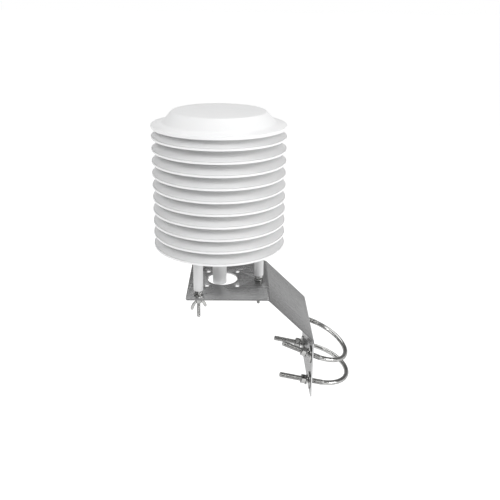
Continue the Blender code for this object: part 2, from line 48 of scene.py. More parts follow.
# Shield axis and louvres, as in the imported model.
GAP = 0.0003
SHIELD_X = -0.1385
SHIELD_Y = -0.0040
BASE_LIP_Z = 0.1838
LOUVRE_COUNT = 10
LOUVRE_PITCH = 0.01747
CAP_PITCH = 0.0142
RIM_RADIUS = 0.095
LIP_HEIGHT = 0.0042
LIP_WIDTH = 0.0022
SHELL = 0.0022
RING_OUTER = 0.070
RING_INNER = 0.041
RING_RISE = 0.0152
LIP_ROOT_RISE = 0.00045
LIP_BEAD_DROP = 0.0012
LIP_STEP = 0.0010
LIP_ROOT_INSET = 0.0022
ROUND_SIDES = 144
CAP_TOP_RADIUS = 0.0662
CAP_FOOT_RADIUS = 0.0800
CAP_BRIM_RISE = 0.0030
CAP_HEIGHT = 0.0183
CAP_INSIDE_STEP = 0.0010
DRILL_PAST_BOSS = 0.005
POCKET_PAST_BOSS = 0.001

# Tie rods and what they hold.
ROD_COUNT = 3
ROD_CIRCLE = 0.0588
ROD_FIRST_ANGLE = math.radians(241.1)
ROD_MAJOR = 0.0024
ROD_MINOR = 0.00195
ROD_PITCH = 0.0254 / 24
ROD_LENGTH = 0.2840
ROD_TIPS = (0.0844, 0.0799, 0.0822)
ROD_THREADED = 0.062
ROD_END_HEIGHT = 0.00025
ROD_END_INSET = 0.0002
ROD_PLAIN_START = 0.001
ROD_PLAIN_INSET = 0.0001
ROD_TOP_CHAMFER = 0.0004
ROD_BORE = 0.0027
BOSS_RADIUS = 0.0069
STANDOFF_RADIUS = 0.0069
TIE_NUT_FLATS = 0.0095
TIE_NUT_HEIGHT = 0.0049
CAP_NUT_HEIGHT = 0.0033
TIE_NUT_FIRST_TURN = 29
TIE_NUT_STEP_TURN = 17
TIE_WASHER_RADIUS = 0.0062
TIE_WASHER_THICK = 0.0012
TIE_WASHER_SOFT_EDGE = 0.00025
WING_HUB_RADIUS = 0.0052
WING_HUB_FOOT_RADIUS = 0.0041
WING_HUB_COLLAR = 0.0017
WING_HUB_HEIGHT = 0.0086
WING_HALF_THICK = 0.0011
WING_EDGE = 0.00055
WING_OUTLINE = (
    # (distance from the axis, height) round one wing, in metres
    (0.0032, -0.0042), (0.0052, -0.0050), (0.0072, -0.0063), (0.0090, -0.0080), (0.0105, -0.0100),
    (0.0116, -0.0120), (0.0123, -0.0140), (0.0124, -0.0158), (0.0118, -0.0172), (0.0106, -0.0178),
    (0.0094, -0.0175), (0.0085, -0.0164), (0.0078, -0.0148), (0.0070, -0.0130), (0.0058, -0.0111),
    (0.0046, -0.0096), (0.0034, -0.0082),
)
WING_TURNS = (math.radians(29), math.radians(100), math.radians(-25))

# Arm.
SHEET = 0.0020
BEND_RADIUS = 0.0050
ARM_WIDTH = 0.1411
PLATE_END_X = -0.1843
PLATE_UNDERSIDE_Z = 0.1175
FIRST_BEND_X = -0.0669
SECOND_BEND_Z = 0.0541
FLANGE_END_Z = -0.0405
PROBE_HOLE_X = -0.1343
PROBE_HOLE_RADIUS = 0.02255
SPARE_HOLE_RADIUS = 0.0036
SPARE_HOLE_SPACING_X = 0.0448
SPARE_HOLE_SPACING_Y = 0.0506
ROD_HOLE_RADIUS = 0.0030
SHEET_CORNER_RADIUS = 0.0025
SHEET_EDGE = 0.00022
CUT_EDGE_DEPTH = 0.001
CUTTER_REACH = 0.002
CUTTER_HALF_DEPTH = 0.006
CORNER_CUTTER_HALF_DEPTH = 0.004
CORNER_STEPS = 10

# U-bolts.
LEG_HALF_SPACING = 0.0535
SHANK_RADIUS = 0.0035
BOLT_MAJOR = 0.0039
BOLT_MINOR = 0.0033
BOLT_PITCH = 0.0254 / 18
THREAD_PAST_FACE = 0.0150
FLANGE_HOLE_RADIUS = 0.0052
BIG_WASHER_RADIUS = 0.0127
BIG_WASHER_BORE = 0.0050
BIG_WASHER_THICK = 0.0016
BIG_WASHER_SOFT_EDGE = 0.0003
SPRING_WASHER_RADIUS = 0.0074
SPRING_WASHER_THICK = 0.0020
BOLT_NUT_FLATS = 0.0127
BOLT_NUT_HEIGHT = 0.0068
BOLT_BORE = 0.0042
BOLT_END_LENGTH = 0.0003
BOLT_END_CHAMFER = 0.0004
BOLT_LEAD_IN_DROP = 0.0003
BOLT_LEAD_IN_PITCHES = 0.8
BOLT_RUNOUT_PITCHES = 2.2
BOW_STEPS = 60
BOLT_NUT_MIDDLE_TURN = 18
BOLT_NUT_SIDE_TURN = 14
U_BOLTS = (
    {"name": "upper", "z": 0.02285, "droop": 21.7, "yaw": -4.1, "straight": 0.0092, "tail": 0.0436},
    {"name": "lower", "z": -0.02285, "droop": 13.0, "yaw": 1.6, "straight": 0.0104, "tail": 0.0501},
)

# Nuts, spring washers and threads. Shares are parts of one of the piece's own measures.
NUT_FACE_SHARE = 0.985
NUT_SINK_SHARE = 0.12
NUT_CHAMFER = math.radians(30)
NUT_SOFT_EDGE = 0.00015
SPRING_OPENING = math.radians(9)
SPRING_RISE_SHARE = 0.14
SPRING_SOFT_SHARE = 0.12
SPRING_STEPS = 56
THREAD_STEPS = 8
THREAD_ROOT_SHARE = 0.10
THREAD_FLANK_SHARE = 0.72

# Probe and its tube.
TUBE_RADIUS = 0.0105
TUBE_BORE = 0.0082
TUBE_END_Z = 0.1155
TUBE_FLANGE_RADIUS = 0.0145
TUBE_FLANGE_THICK = 0.0025
TUBE_PAST_FLANGE = 0.004
LOCK_NUT_RADIUS = 0.0150
LOCK_NUT_FOOT_RADIUS = 0.0144
LOCK_NUT_TOP_RADIUS = 0.0146
LOCK_NUT_HEIGHT = 0.0060
LOCK_NUT_CHAMFER = 0.0006
LOCK_NUT_GROOVES = 24
LOCK_NUT_GROOVE_DEPTH = 0.0005
PROBE_RADIUS = 0.0060
PROBE_LENGTH = 0.120
PROBE_NECK_RADIUS = 0.0042
PROBE_NECK_LENGTH = 0.005
PROBE_SINK = 0.012
GLAND_SINK = 0.003
GLAND_RADIUS = 0.0045
GLAND_SLOPE = 0.003
CABLE_HOLE_RADIUS = 0.0018
FILTER_HEIGHT = 0.033
FILTER_ROUNDING = 0.0030
FILTER_WALL = 0.0018
FILTER_SHOULDER = 0.0024
BUSH_HEIGHT = 0.010
BUSH_STEPS = 8
BUSH_RIB_DEPTH = 0.0006
LOW_BUSH_RISE = 0.004
BOARD_HALF_WIDTH = 0.0030
BOARD_HALF_THICK = 0.0005
BOARD_CLEARANCE = 0.006
BOARD_EDGE = 0.0001

# Camera.
LENS = 44.907
SENSOR_WIDTH = 36
SHIFT_X = -0.004
SHIFT_Y = -0.1
FAR_LIMIT = 50
CAMERA_PLACE = (-0.10695, -0.86625, 0.5172)
CAMERA_YAW = math.radians(1.033)
CAMERA_PITCH = math.radians(17.484)
CAMERA_ROLL = math.radians(0.791)

# Studio. The sky's tone changes with height, from white at the horizon.
FLOOR_Z = -0.16
FLOOR_RADIUS = 60
FLOOR_THICK = 0.02
FLOOR_GLOW = 0.88
HORIZON_HEIGHT = 0.02
SKY_LOW_HEIGHT = 0.10
SKY_MIDDLE_HEIGHT = 0.50
SKY_LOW = 0.42
SKY_MIDDLE = 0.20
SKY_TOP = 0.50
LIGHTS_AIM = (-0.12, 0.0, 0.22)
LIGHTS = (
    # name, place, size (m), power (W)
    ("key_light", (1.1, -1.3, 1.7), (1.0, 1.0), 14),
    ("right_light", (2.0, -0.9, 0.5), (1.0, 0.6), 18),
    ("top_light", (0.0, 0.8, 2.1), (1.6, 1.6), 17),
    ("left_light", (-1.1, -1.3, 1.6), (1.0, 1.0), 17.5),
)


# ---------------------------------------------------------------- camera

def add_camera():
    """The photograph's view: a little above the shield, looking down on it, with a slight roll."""
    data = bpy.data.cameras.new("view")
    data.lens = LENS
    data.sensor_width = SENSOR_WIDTH
    data.shift_x = SHIFT_X
    data.shift_y = SHIFT_Y
    data.clip_end = FAR_LIMIT
    camera = bpy.data.objects.new("view", data)
    bpy.context.scene.collection.objects.link(camera)
    level = math.cos(CAMERA_PITCH)
    ahead = Vector((math.sin(CAMERA_YAW) * level, math.cos(CAMERA_YAW) * level, -math.sin(CAMERA_PITCH)))
    flat_right = Vector((math.cos(CAMERA_YAW), -math.sin(CAMERA_YAW), 0))
    flat_up = flat_right.cross(ahead)
    right = flat_right * math.cos(CAMERA_ROLL) + flat_up * math.sin(CAMERA_ROLL)
    up = flat_up * math.cos(CAMERA_ROLL) - flat_right * math.sin(CAMERA_ROLL)
    turn = Matrix((right, up, -ahead)).transposed().to_4x4()
    camera.matrix_world = Matrix.Translation(CAMERA_PLACE) @ turn
    bpy.context.scene.camera = camera


# ---------------------------------------------------------------- materials

class Nodes:
    """Short calls for building a material's node tree."""

    def __init__(self, name):
        self.material = bpy.data.materials.new(name)
        self.material.use_nodes = True
        self.tree = self.material.node_tree
        self.shader = self.tree.nodes["Principled BSDF"]

    def add(self, kind, **values):
        node = self.tree.nodes.new(kind)
        for key, value in values.items():
            setattr(node, key, value)
        return node

    def link(self, source, target):
        self.tree.links.new(source, target)

    def coords(self, scale=(1, 1, 1)):
        where = self.add("ShaderNodeTexCoord")
        mapping = self.add("ShaderNodeMapping")
        mapping.inputs["Scale"].default_value = scale
        self.link(where.outputs["Object"], mapping.inputs["Vector"])
        return mapping.outputs["Vector"]

    def noise(self, scale, detail=3.0, stretch=(1, 1, 1), roughness=0.5):
        texture = self.add("ShaderNodeTexNoise")
        texture.inputs["Scale"].default_value = scale
        texture.inputs["Detail"].default_value = detail
        texture.inputs["Roughness"].default_value = roughness
        self.link(self.coords(stretch), texture.inputs["Vector"])
        return texture.outputs["Fac"]

    def ramp(self, source, stops):
        node = self.add("ShaderNodeValToRGB")
        ramp = node.color_ramp
        ramp.elements[0].position, ramp.elements[0].color = stops[0][0], (*stops[0][1], 1)
        ramp.elements[1].position, ramp.elements[1].color = stops[-1][0], (*stops[-1][1], 1)
        for position, colour in stops[1:-1]:
            ramp.elements.new(position).color = (*colour, 1)
        self.link(source, node.inputs["Fac"])
        return node.outputs["Color"]

    def spread(self, source, low, high, from_low=0.3, from_high=0.7):
        node = self.add("ShaderNodeMapRange")
        node.inputs["From Min"].default_value = from_low
        node.inputs["From Max"].default_value = from_high
        node.inputs["To Min"].default_value = low
        node.inputs["To Max"].default_value = high
        self.link(source, node.inputs["Value"])
        return node.outputs["Result"]

    def bump(self, source, strength, distance, after=None):
        node = self.add("ShaderNodeBump")
        node.inputs["Strength"].default_value = strength
        node.inputs["Distance"].default_value = distance
        self.link(source, node.inputs["Height"])
        if after:
            self.link(after, node.inputs["Normal"])
        return node.outputs["Normal"]

    def set(self, **values):
        for key, value in values.items():
            socket = self.shader.inputs[key.replace("_", " ")]
            if hasattr(value, "is_linked"):
                self.link(value, socket)
            else:
                socket.default_value = value
        return self.material


def plastic_material(name, low, high):
    """White satin thermoplastic with a faint mould texture and slight weathering in its tone."""
    n = Nodes(name)
    tone = n.ramp(n.noise(14, 4), [(0.3, low), (0.7, high)])
    grain = n.noise(2600, 2)
    swirl = n.noise(45, 2)
    rough = n.spread(n.noise(60, 3), 0.36, 0.47)
    normal = n.bump(grain, 0.05, 0.0004, n.bump(swirl, 0.10, 0.0006))
    n.set(Base_Color=tone, Roughness=rough, Normal=normal)
    return n.set(IOR=1.48, Subsurface_Weight=0.06, Subsurface_Scale=0.002,
                 Subsurface_Radius=(1.0, 1.0, 0.95))


def sheet_material(name, low, high):
    """Stainless sheet with a satin finish brushed along the arm, smears and fine scratches."""
    n = Nodes(name)
    brushed = n.noise(900, 3, (0.035, 1.0, 0.035), 0.6)
    patches = n.noise(22, 4)
    scratches = n.noise(420, 2, (0.03, 1.0, 0.03), 0.7)
    grain = n.noise(3400, 2, (0.012, 1.0, 0.012), 0.5)
    tone = n.ramp(brushed, [(0.25, low), (0.75, high)])
    rough = n.add("ShaderNodeMath", operation="ADD")
    n.link(n.spread(patches, 0.17, 0.25), rough.inputs[0])
    n.link(n.spread(brushed, -0.02, 0.05), rough.inputs[1])
    normal = n.bump(grain, 0.45, 0.0003, n.bump(scratches, 0.10, 0.0002, n.bump(brushed, 0.12, 0.0001)))
    n.set(Base_Color=tone, Roughness=rough.outputs[0], Normal=normal)
    return n.set(Metallic=1.0, Specular_Tint=(0.45, 0.45, 0.45, 1))


def plated_material(name, low, high, rough_low, rough_high):
    """Bright plated fastener steel with faint clouding, and painted shade: darker in recesses such as thread
    roots.
    """
    n = Nodes(name)
    clouds = n.noise(160, 4)
    # Painted shade: the colour darkens where the surface is hollow, such as thread roots, standing in for the
    # shade that falls there.
    geometry = n.add("ShaderNodeNewGeometry")
    shade = n.ramp(geometry.outputs["Pointiness"], [(0.43, (0.25, 0.25, 0.25)), (0.50, (1, 1, 1))])
    shaded_tone = n.add("ShaderNodeVectorMath", operation="MULTIPLY")
    n.link(n.ramp(clouds, [(0.3, low), (0.7, high)]), shaded_tone.inputs[0])
    n.link(shade, shaded_tone.inputs[1])
    tone = shaded_tone.outputs["Vector"]
    rough = n.spread(n.noise(380, 3), rough_low, rough_high)
    normal = n.bump(n.noise(1500, 2), 0.08, 0.0002)
    n.set(Base_Color=tone, Roughness=rough, Normal=normal)
    return n.set(Metallic=1.0, Specular_Tint=(0.50, 0.50, 0.50, 1))


def dark_material():
    n = Nodes("dark_plastic_look")
    tone = n.ramp(n.noise(90, 3), [(0.3, (0.040, 0.040, 0.044)), (0.7, (0.060, 0.060, 0.064))])
    n.set(Base_Color=tone, Roughness=n.spread(n.noise(300, 3), 0.38, 0.55),
          Normal=n.bump(n.noise(2200, 2), 0.15, 0.0003))
    return n.material


def rubber_material():
    n = Nodes("black_rubber_look")
    tone = n.ramp(n.noise(120, 4), [(0.3, (0.018, 0.018, 0.018)), (0.7, (0.036, 0.036, 0.036))])
    n.set(Base_Color=tone, Roughness=n.spread(n.noise(200, 3), 0.62, 0.82),
          Normal=n.bump(n.noise(1600, 3), 0.25, 0.0003))
    return n.material


def bronze_material():
    """Sintered bronze: small round grains pressed together."""
    n = Nodes("sintered_bronze_look")
    cells = n.add("ShaderNodeTexVoronoi")
    cells.inputs["Scale"].default_value = 2200
    n.link(n.coords(), cells.inputs["Vector"])
    tone = n.ramp(cells.outputs["Distance"], [(0.1, (0.56, 0.41, 0.23)), (0.8, (0.24, 0.16, 0.09))])
    n.set(Base_Color=tone, Roughness=n.spread(cells.outputs["Distance"], 0.42, 0.8, 0.0, 0.8),
          Normal=n.bump(cells.outputs["Distance"], -0.6, 0.0003))
    return n.set(Metallic=0.85)


def board_material():
    n = Nodes("circuit_board_look")
    tracks = n.add("ShaderNodeTexBrick", offset=0.35)
    tracks.inputs["Color1"].default_value = (0.015, 0.13, 0.05, 1)
    tracks.inputs["Color2"].default_value = (0.02, 0.16, 0.065, 1)
    tracks.inputs["Mortar"].default_value = (0.08, 0.30, 0.14, 1)
    tracks.inputs["Scale"].default_value = 420
    tracks.inputs["Mortar Size"].default_value = 0.05
    n.link(n.coords(), tracks.inputs["Vector"])
    n.set(Base_Color=tracks.outputs["Color"], Roughness=n.spread(n.noise(500, 2), 0.25, 0.4),
          Normal=n.bump(tracks.outputs["Fac"], 0.2, 0.0002))
    return n.material


def floor_material():
    n = Nodes("floor_look")
    tone = n.ramp(n.noise(3, 2), [(0.3, (0.30, 0.30, 0.30)), (0.7, (0.32, 0.32, 0.32))])
    n.set(Base_Color=tone)
    return n.set(Roughness=0.9, Emission_Color=(1, 1, 1, 1), Emission_Strength=FLOOR_GLOW)


# ---------------------------------------------------------------- meshes

def at(x, y, z):
    return Matrix.Translation((x, y, z))


def on_circle(radius, sides):
    """Points spread evenly round a circle about the origin."""
    return [(radius * math.cos(TAU * k / sides), radius * math.sin(TAU * k / sides)) for k in range(sides)]


def mesh_from(name, verts, faces, sharp=32):
    """Mesh with outward faces and smooth shading between faces closer than the sharp angle."""
    builder = bmesh.new()
    points = [builder.verts.new(v) for v in verts]
    for face in faces:
        builder.faces.new([points[k] for k in face])
    bmesh.ops.recalc_face_normals(builder, faces=builder.faces)
    mesh = bpy.data.meshes.new(name)
    builder.to_mesh(mesh)
    builder.free()
    mesh.shade_smooth()
    mesh.set_sharp_from_angle(angle=math.radians(sharp))
    return mesh


def rounded(outline, radii, steps=4):
    """Rounds the corners of a closed (r, z) outline. A corner on the axis or with radius 0 stays."""
    result = []
    count = len(outline)
    for k, (corner, radius) in enumerate(zip(outline, radii)):
        here = Vector(corner)
        before = Vector(outline[k - 1]) - here
        after = Vector(outline[(k + 1) % count]) - here
        if radius == 0 or here.x == 0:
            result.append(tuple(here))
            continue
        a, b = before.normalized(), after.normalized()
        half = a.angle(b) / 2
        back = min(radius / math.tan(half), 0.49 * before.length, 0.49 * after.length)
        real = back * math.tan(half)
        centre = here + (a + b).normalized() * real / math.sin(half)
        start, end = here + a * back - centre, here + b * back - centre
        turn = math.atan2(start.x * end.y - start.y * end.x, start.dot(end))
        for step in range(steps + 1):
            angle = turn * step / steps
            c, s = math.cos(angle), math.sin(angle)
            result.append((centre.x + start.x * c - start.y * s, centre.y + start.x * s + start.y * c))
    return result


def soft_outline(corners, steps=4):
    """Closed outline from pairs of a corner, (r, z), and the radius it is rounded to."""
    return rounded([corner for corner, _ in corners], [radius for _, radius in corners], steps)


def lathe(name, outline, sides=64, sharp=32):
    """Revolves a closed outline of (radius, z) points about Z. A point at radius 0 becomes a pole."""
    verts, rings = [], []
    for radius, z in outline:
        if radius == 0:
            rings.append([len(verts)])
            verts.append((0, 0, z))
            continue
        rings.append(list(range(len(verts), len(verts) + sides)))
        verts += [(x, y, z) for x, y in on_circle(radius, sides)]
    faces = []
    for near, far in zip(rings, rings[1:] + rings[:1]):
        if len(near) == 1 and len(far) == 1:
            continue
        for k in range(sides):
            near_corners = [near[k % len(near)], near[(k + 1) % len(near)]]
            far_corners = [far[(k + 1) % len(far)], far[k % len(far)]]
            faces.append(list(dict.fromkeys(near_corners + far_corners)))
    return mesh_from(name, verts, faces, sharp)


def ring_outline(outer, inner, bottom, top):
    """Section of a ring, or of a disc when inner is 0, as (radius, z) points."""
    return [(inner, bottom), (outer, bottom), (outer, top), (inner, top)]


def washer_mesh(name, outer, inner, thick, soft, steps, sides):
    """Flat washer from z = 0 to thick, its corners rounded by soft in a number of steps."""
    return lathe(name, rounded(ring_outline(outer, inner, 0, thick), [soft] * 4, steps), sides)


def place_piece(name, mesh, node, body, material, place=None):
    """Adds a mesh as a piece of the object that stands for one CAD node."""
    piece = bpy.data.objects.new(name, mesh)
    bpy.context.scene.collection.objects.link(piece)
    if not mesh.materials:
        mesh.materials.append(material)
    piece.matrix_world = place or Matrix()
    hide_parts(node)
    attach(piece, body)
    return piece


def loose(name, mesh, place=None):
    """Adds a mesh to the scene without making it a piece."""
    item = bpy.data.objects.new(name, mesh)
    bpy.context.scene.collection.objects.link(item)
    item.matrix_world = place or Matrix()
    return item


def combine(mesh, tools, operation, sharp=32):
    """Mesh after the tools, (mesh, place) pairs, are joined to it or cut from it."""
    target = loose("target", mesh)
    for tool_mesh, place in tools:
        tool = loose("tool", tool_mesh, place)
        modifier = target.modifiers.new(operation, "BOOLEAN")
        modifier.operation = operation
        modifier.solver = "EXACT"
        modifier.object = tool
        graph = bpy.context.evaluated_depsgraph_get()
        result = bpy.data.meshes.new_from_object(target.evaluated_get(graph))
        target.modifiers.clear()
        target.data = result
        bpy.data.objects.remove(tool, do_unlink=True)
    result = target.data
    bpy.data.objects.remove(target, do_unlink=True)
    result.shade_smooth()
    result.set_sharp_from_angle(angle=math.radians(sharp))
    return result


def bevelled(mesh, width, segments=2, angle=40, sharp=40):
    """Mesh with its sharp edges rounded off."""
    item = loose("bevelled", mesh)
    modifier = item.modifiers.new("bevel", "BEVEL")
    modifier.width = width
    modifier.segments = segments
    modifier.limit_method = "ANGLE"
    modifier.angle_limit = math.radians(angle)
    modifier.use_clamp_overlap = True
    graph = bpy.context.evaluated_depsgraph_get()
    result = bpy.data.meshes.new_from_object(item.evaluated_get(graph))
    bpy.data.objects.remove(item, do_unlink=True)
    result.shade_smooth()
    result.set_sharp_from_angle(angle=math.radians(sharp))
    return result


def skin(here, there, count):
    """Faces between two closed rows of count points each, which start at here and there."""
    return [[here + k, here + (k + 1) % count, there + (k + 1) % count, there + k] for k in range(count)]


def prism(name, outline, low, high, lift):
    """Extrudes a flat outline between two depths. lift turns a point and a depth into a position."""
    count = len(outline)
    verts = [lift(point, low) for point in outline] + [lift(point, high) for point in outline]
    faces = [list(range(count)), list(range(2 * count - 1, count - 1, -1))]
    faces += skin(0, count, count)
    return mesh_from(name, verts, faces)


def thread_wave(turns):
    """Height of a rounded thread, 0 at its root and 1 at its crest, along one pitch."""
    phase = turns % 1.0
    ramp = 1 - abs(2 * phase - 1)
    return min(max((ramp - THREAD_ROOT_SHARE) / THREAD_FLANK_SHARE, 0.0), 1.0)


def threaded_tube(name, path, side_normal, sides, radius_at):
    """Sweeps a circle along a flat path of (position, heading) pairs, its radius from radius_at."""
    verts = []
    for step, (centre, along) in enumerate(path):
        across = side_normal.cross(along).normalized()
        for k in range(sides):
            angle = TAU * k / sides
            offset = across * math.cos(angle) + side_normal * math.sin(angle)
            verts.append(centre + offset * radius_at(step, angle))
    faces = []
    for step in range(len(path) - 1):
        faces += skin(step * sides, (step + 1) * sides, sides)
    faces.append(list(range(sides)))
    faces.append(list(range((len(path) - 1) * sides, len(path) * sides)))
    return mesh_from(name, verts, faces, 50)


def hex_radius(flats, angle):
    """Distance from a hexagon's middle to its side, at an angle from the middle of a side."""
    within = (angle + math.pi / 6) % (math.pi / 3) - math.pi / 6
    return flats / 2 / math.cos(within)


def hex_nut(name, flats, bore, height, sides=72):
    """Hexagonal nut from z = 0 to height, both faces chamfered down to its corners, bore countersunk."""
    face_radius = flats / 2 * NUT_FACE_SHARE
    fall = math.tan(NUT_CHAMFER)
    sink = bore * NUT_SINK_SHARE
    soft = NUT_SOFT_EDGE
    verts, faces = [], []
    for k in range(sides):
        angle = TAU * (k / sides)
        outer = hex_radius(flats, angle + math.pi / 6)
        drop = (outer - face_radius) * fall
        profile = [
            (bore, sink), (bore + sink, 0), (face_radius, 0),
            (outer - soft, drop), (outer, drop + soft),
            (outer, height - drop - soft), (outer - soft, height - drop),
            (face_radius, height), (bore + sink, height), (bore, height - sink),
        ]
        verts += [(r * math.cos(angle), r * math.sin(angle), z) for r, z in profile]
    count = len(profile)
    for k in range(sides):
        faces += skin(k * count, ((k + 1) % sides) * count, count)
    return mesh_from(name, verts, faces, 24)


def spring_washer(name, outer, inner, thick):
    """Split lock washer from z = 0 to thick, its two ends slightly apart."""
    steps = SPRING_STEPS
    verts, faces = [], []
    outline = ring_outline(outer, inner, 0, thick * (1 - SPRING_RISE_SHARE))
    section = rounded(outline, [thick * SPRING_SOFT_SHARE] * 4, 2)
    count = len(section)
    for step in range(steps + 1):
        angle = SPRING_OPENING / 2 + (TAU - SPRING_OPENING) * step / steps
        rise = thick * SPRING_RISE_SHARE * step / steps
        verts += [(r * math.cos(angle), r * math.sin(angle), z + rise) for r, z in section]
    for step in range(steps):
        faces += skin(step * count, (step + 1) * count, count)
    faces.append(list(range(count)))
    faces.append(list(range(steps * count, (steps + 1) * count)))
    return mesh_from(name, verts, faces)


# ---------------------------------------------------------------- the shield

def rod_places():
    """Where the tie rods stand about the shield's axis, as (x, y) pairs."""
    angles = [ROD_FIRST_ANGLE + TAU * k / ROD_COUNT for k in range(ROD_COUNT)]
    return [(ROD_CIRCLE * math.cos(a), ROD_CIRCLE * math.sin(a)) for a in angles]


def louvre_outline(inner_radius):
    """Section of a louvre about its lip's middle, each corner with the radius it is moulded to."""
    lip_top = LIP_HEIGHT / 2
    bead_top = lip_top - LIP_BEAD_DROP
    ring_top = lip_top + RING_RISE
    corners = [
        ((RIM_RADIUS, -lip_top), 0.0005),
        ((RIM_RADIUS, bead_top), 0.0006),
        ((RIM_RADIUS - LIP_STEP, bead_top), 0.0003),
        ((RIM_RADIUS - LIP_ROOT_INSET, bead_top + LIP_ROOT_RISE), 0.0014),
        ((RING_OUTER, ring_top), 0.0040),
        ((inner_radius, ring_top), 0.0005),
        ((inner_radius, ring_top - SHELL), 0.0005),
        ((RING_OUTER - 0.4 * SHELL, ring_top - SHELL), 0.0030),
        ((RIM_RADIUS - LIP_WIDTH, lip_top - SHELL), 0.0006),
        ((RIM_RADIUS - LIP_WIDTH, -lip_top), 0.0007),
    ]
    return soft_outline(corners)


def louvre_mesh(name, inner_radius, with_bosses):
    """Louvre with holes for the tie rods and, where it has them, the bosses round the holes."""
    ring_top = LIP_HEIGHT / 2 + RING_RISE
    boss_foot = ring_top - LOUVRE_PITCH + GAP
    mesh = lathe(name, louvre_outline(inner_radius), ROUND_SIDES)
    if with_bosses:
        outline = ring_outline(BOSS_RADIUS, 0, boss_foot, ring_top - SHELL / 2)
        boss = lathe("boss", rounded(outline, [0, 0.0004, 0, 0], 2), 40)
        mesh = combine(mesh, [(boss, at(x, y, 0)) for x, y in rod_places()], "UNION")
    outline = ring_outline(ROD_BORE, 0, boss_foot - DRILL_PAST_BOSS, ring_top + DRILL_PAST_BOSS)
    drill = lathe("drill", outline, 32)
    return combine(mesh, [(drill, at(x, y, 0)) for x, y in rod_places()], "DIFFERENCE")


def cap_mesh():
    """Cap: flat top, steep side, gently sloped brim, and bosses with hexagonal nut pockets inside."""
    lip_top = LIP_HEIGHT / 2
    top = lip_top + CAP_HEIGHT
    ceiling = top - SHELL
    foot = lip_top + CAP_BRIM_RISE
    corners = [
        ((0, top), 0),
        ((CAP_TOP_RADIUS, top), 0.0038),
        ((CAP_FOOT_RADIUS, foot), 0.0060),
        ((RIM_RADIUS, lip_top), 0.0006),
        ((RIM_RADIUS, -lip_top), 0.0005),
        ((RIM_RADIUS - LIP_WIDTH, -lip_top), 0.0007),
        ((RIM_RADIUS - LIP_WIDTH, lip_top - SHELL), 0.0006),
        ((CAP_FOOT_RADIUS - CAP_INSIDE_STEP, foot - SHELL), 0.0060),
        ((CAP_TOP_RADIUS - CAP_INSIDE_STEP, ceiling), 0.0020),
        ((0, ceiling), 0),
    ]
    mesh = lathe("shield_cap", soft_outline(corners, 6), ROUND_SIDES)
    boss_foot = LIP_HEIGHT / 2 + RING_RISE - CAP_PITCH + GAP
    bore_end = ceiling - SHELL
    boss = lathe("boss", [
        (0, bore_end), (ROD_BORE, bore_end), (ROD_BORE, boss_foot), (BOSS_RADIUS, boss_foot),
        (BOSS_RADIUS, ceiling + GAP), (0, ceiling + GAP)], 40)
    hexagon = on_circle((TIE_NUT_FLATS + 2 * GAP) / math.sqrt(3), 6)
    pocket = prism("pocket", hexagon, boss_foot - POCKET_PAST_BOSS, boss_foot + CAP_NUT_HEIGHT + GAP,
                   lambda point, z: (*point, z))
    boss = combine(boss, [(pocket, None)], "DIFFERENCE")
    return combine(mesh, [(boss, at(x, y, 0)) for x, y in rod_places()], "UNION")


def build_shield(plastic):
    """The cap, the nine louvres below it and the base louvre, which the probe's tube passes through."""
    top_lip_z = BASE_LIP_Z + LOUVRE_PITCH * (LOUVRE_COUNT - 1)
    place_piece("shield_cap", cap_mesh(), "cap", "root", plastic,
                at(SHIELD_X, SHIELD_Y, top_lip_z + CAP_PITCH))
    shared = louvre_mesh("shield_louvre", RING_INNER, True)
    for number in range(1, LOUVRE_COUNT):
        lip_z = top_lip_z - LOUVRE_PITCH * (number - 1)
        place_piece(f"shield_louvre_{number:02d}", shared, f"louvre_{number:02d}", "root",
                    plastic, at(SHIELD_X, SHIELD_Y, lip_z))
    base = louvre_mesh("shield_base", TUBE_RADIUS + 2 * GAP, False)
    place_piece("shield_base", base, "base_louvre", "root", plastic,
                at(SHIELD_X, SHIELD_Y, BASE_LIP_Z))


# ---------------------------------------------------------------- tie rods

def rod_mesh():
    """Tie rod from z = 0, threaded where it shows and plain inside the shield."""
    heights = [0.0, ROD_END_HEIGHT]
    while heights[-1] < ROD_THREADED:
        heights.append(heights[-1] + ROD_PITCH / THREAD_STEPS)
    heights += [ROD_THREADED + ROD_PLAIN_START, ROD_LENGTH - ROD_TOP_CHAMFER, ROD_LENGTH]
    path = [(Vector((0, 0, z)), Vector((0, 0, 1))) for z in heights]

    def radius_at(step, angle):
        z = heights[step]
        if step in (0, len(heights) - 1):
            return ROD_MINOR - ROD_END_INSET
        if z > ROD_THREADED:
            return ROD_MAJOR - ROD_PLAIN_INSET
        crest = ROD_MAJOR if z > ROD_PITCH else ROD_MINOR + (ROD_MAJOR - ROD_MINOR) * z / ROD_PITCH
        return ROD_MINOR + (crest - ROD_MINOR) * thread_wave(z / ROD_PITCH - angle / TAU)

    return threaded_tube("tie_rod", path, Vector((0, 1, 0)), 28, radius_at)


def wing_nut_mesh():
    """Wing nut hanging from z = 0: a tapered hub and two rounded wings that spread downwards."""
    corners = [
        ((ROD_BORE, 0), 0.0002),
        ((WING_HUB_RADIUS, 0), 0.0004),
        ((WING_HUB_RADIUS, -WING_HUB_COLLAR), 0.0006),
        ((WING_HUB_FOOT_RADIUS, -WING_HUB_HEIGHT), 0.0005),
        ((ROD_BORE, -WING_HUB_HEIGHT), 0.0002),
    ]
    hub = lathe("hub", soft_outline(corners, 3), 48)
    parts = []
    for side in (1, -1):
        flat = prism("wing", [(side * x, z) for x, z in WING_OUTLINE], -WING_HALF_THICK, WING_HALF_THICK,
                     lambda point, depth: (point[0], depth, point[1]))
        parts.append((bevelled(flat, WING_EDGE, 3, 50), None))
    return combine(hub, parts, "UNION", 40)


